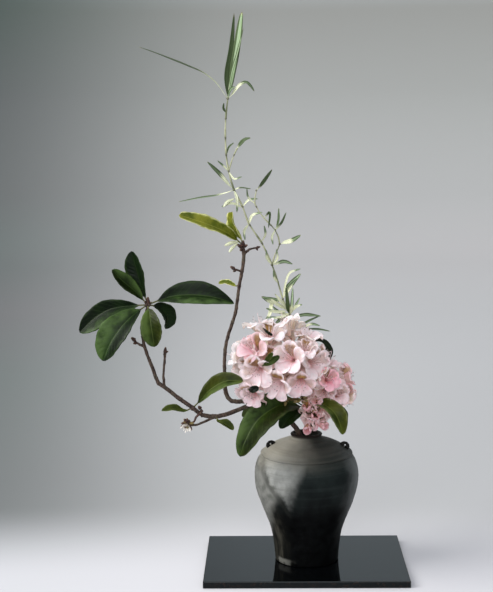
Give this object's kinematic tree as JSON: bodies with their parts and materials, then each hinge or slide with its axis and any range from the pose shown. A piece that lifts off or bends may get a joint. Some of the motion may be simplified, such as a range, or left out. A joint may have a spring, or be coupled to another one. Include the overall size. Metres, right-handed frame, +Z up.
{
  "type": "ikebana arrangement",
  "caption": "Ikebana arrangement: a forked rhododendron bough, pink rhododendron blossoms and tall variegated bamboo in a smoke-fired stoneware jar on a black lacquered board.",
  "frame": {"origin": "centre of the board's underside, on the surface that the arrangement stands on", "axes": "+Z up along the bamboo, -Y towards the viewer, +X to the viewer's right"},
  "size_m": [0.568, 0.2669, 0.99],
  "materials": {
    "black_lacquer": "gloss black lacquer over wood, mirror-like",
    "smoked_stoneware": "unglazed smoke-fired stoneware, matt to faint sheen, pale ash on one shoulder and black below",
    "bough_bark": "rough grey-brown bark",
    "sprig_bark": "brown bark",
    "bamboo_culm": "smooth pale green-yellow culm with dark nodes",
    "rhododendron_leaf": "leathery dark green, satin, with a paler midrib",
    "young_rhododendron_leaf": "leathery yellow-green, satin",
    "bamboo_leaf": "thin striped green and cream, matt",
    "petal": "thin translucent pale pink",
    "half_open_petal": "deeper pink"
  },
  "bodies": {
    "root": {"display_board": "black_lacquer", "vase": "smoked_stoneware", "rhododendron_bough": "bough_bark", "flowering_sprig": "sprig_bark", "bamboo_culm": "bamboo_culm", "whorl_leaf_right": "rhododendron_leaf", "whorl_leaf_top": "rhododendron_leaf", "whorl_leaf_folded": "rhododendron_leaf", "whorl_leaf_far_left": "rhododendron_leaf", "whorl_leaf_lower_left": "rhododendron_leaf", "whorl_leaf_down": "rhododendron_leaf", "whorl_leaf_small": "rhododendron_leaf", "bough_leaf_upper": "rhododendron_leaf", "bough_leaf_left": "rhododendron_leaf", "bough_leaf_lower": "rhododendron_leaf", "collar_leaf_left": "rhododendron_leaf", "collar_leaf_front": "rhododendron_leaf", "collar_leaf_right": "rhododendron_leaf", "collar_leaf_back_left": "rhododendron_leaf", "collar_leaf_back_right": "rhododendron_leaf", "truss_leaf_arched": "rhododendron_leaf", "sunlit_leaf": "young_rhododendron_leaf", "edge_on_leaf": "young_rhododendron_leaf", "young_leaf": "young_rhododendron_leaf", "bamboo_leaf_top": "bamboo_leaf", "bamboo_leaf_top_left": "bamboo_leaf", "bamboo_leaf_top_right": "bamboo_leaf", "bamboo_leaf_upper": "bamboo_leaf", "bamboo_leaf_middle_left": "bamboo_leaf", "bamboo_leaf_middle_low": "bamboo_leaf", "bamboo_leaf_branchlet": "bamboo_leaf", "bamboo_leaf_bend": "bamboo_leaf", "bamboo_leaf_elbow": "bamboo_leaf", "bamboo_leaf_fork": "bamboo_leaf", "bamboo_leaf_slant": "bamboo_leaf", "bamboo_leaf_left": "bamboo_leaf", "bamboo_leaf_skirt": "bamboo_leaf", "blossom_01": "petal", "blossom_02": "petal", "blossom_03": "petal", "blossom_04": "petal", "blossom_05": "petal", "blossom_06": "petal", "blossom_07": "petal", "blossom_08": "petal", "blossom_09": "petal", "blossom_10": "petal", "blossom_11": "petal", "blossom_12": "petal", "blossom_13": "petal", "blossom_14": "petal", "blossom_15": "petal", "blossom_16": "petal", "blossom_17": "petal", "blossom_18": "petal", "blossom_19": "petal", "half_open_blossom_01": "half_open_petal", "half_open_blossom_02": "half_open_petal", "half_open_blossom_03": "half_open_petal", "half_open_blossom_04": "half_open_petal"}
  },
  "joints": []
}
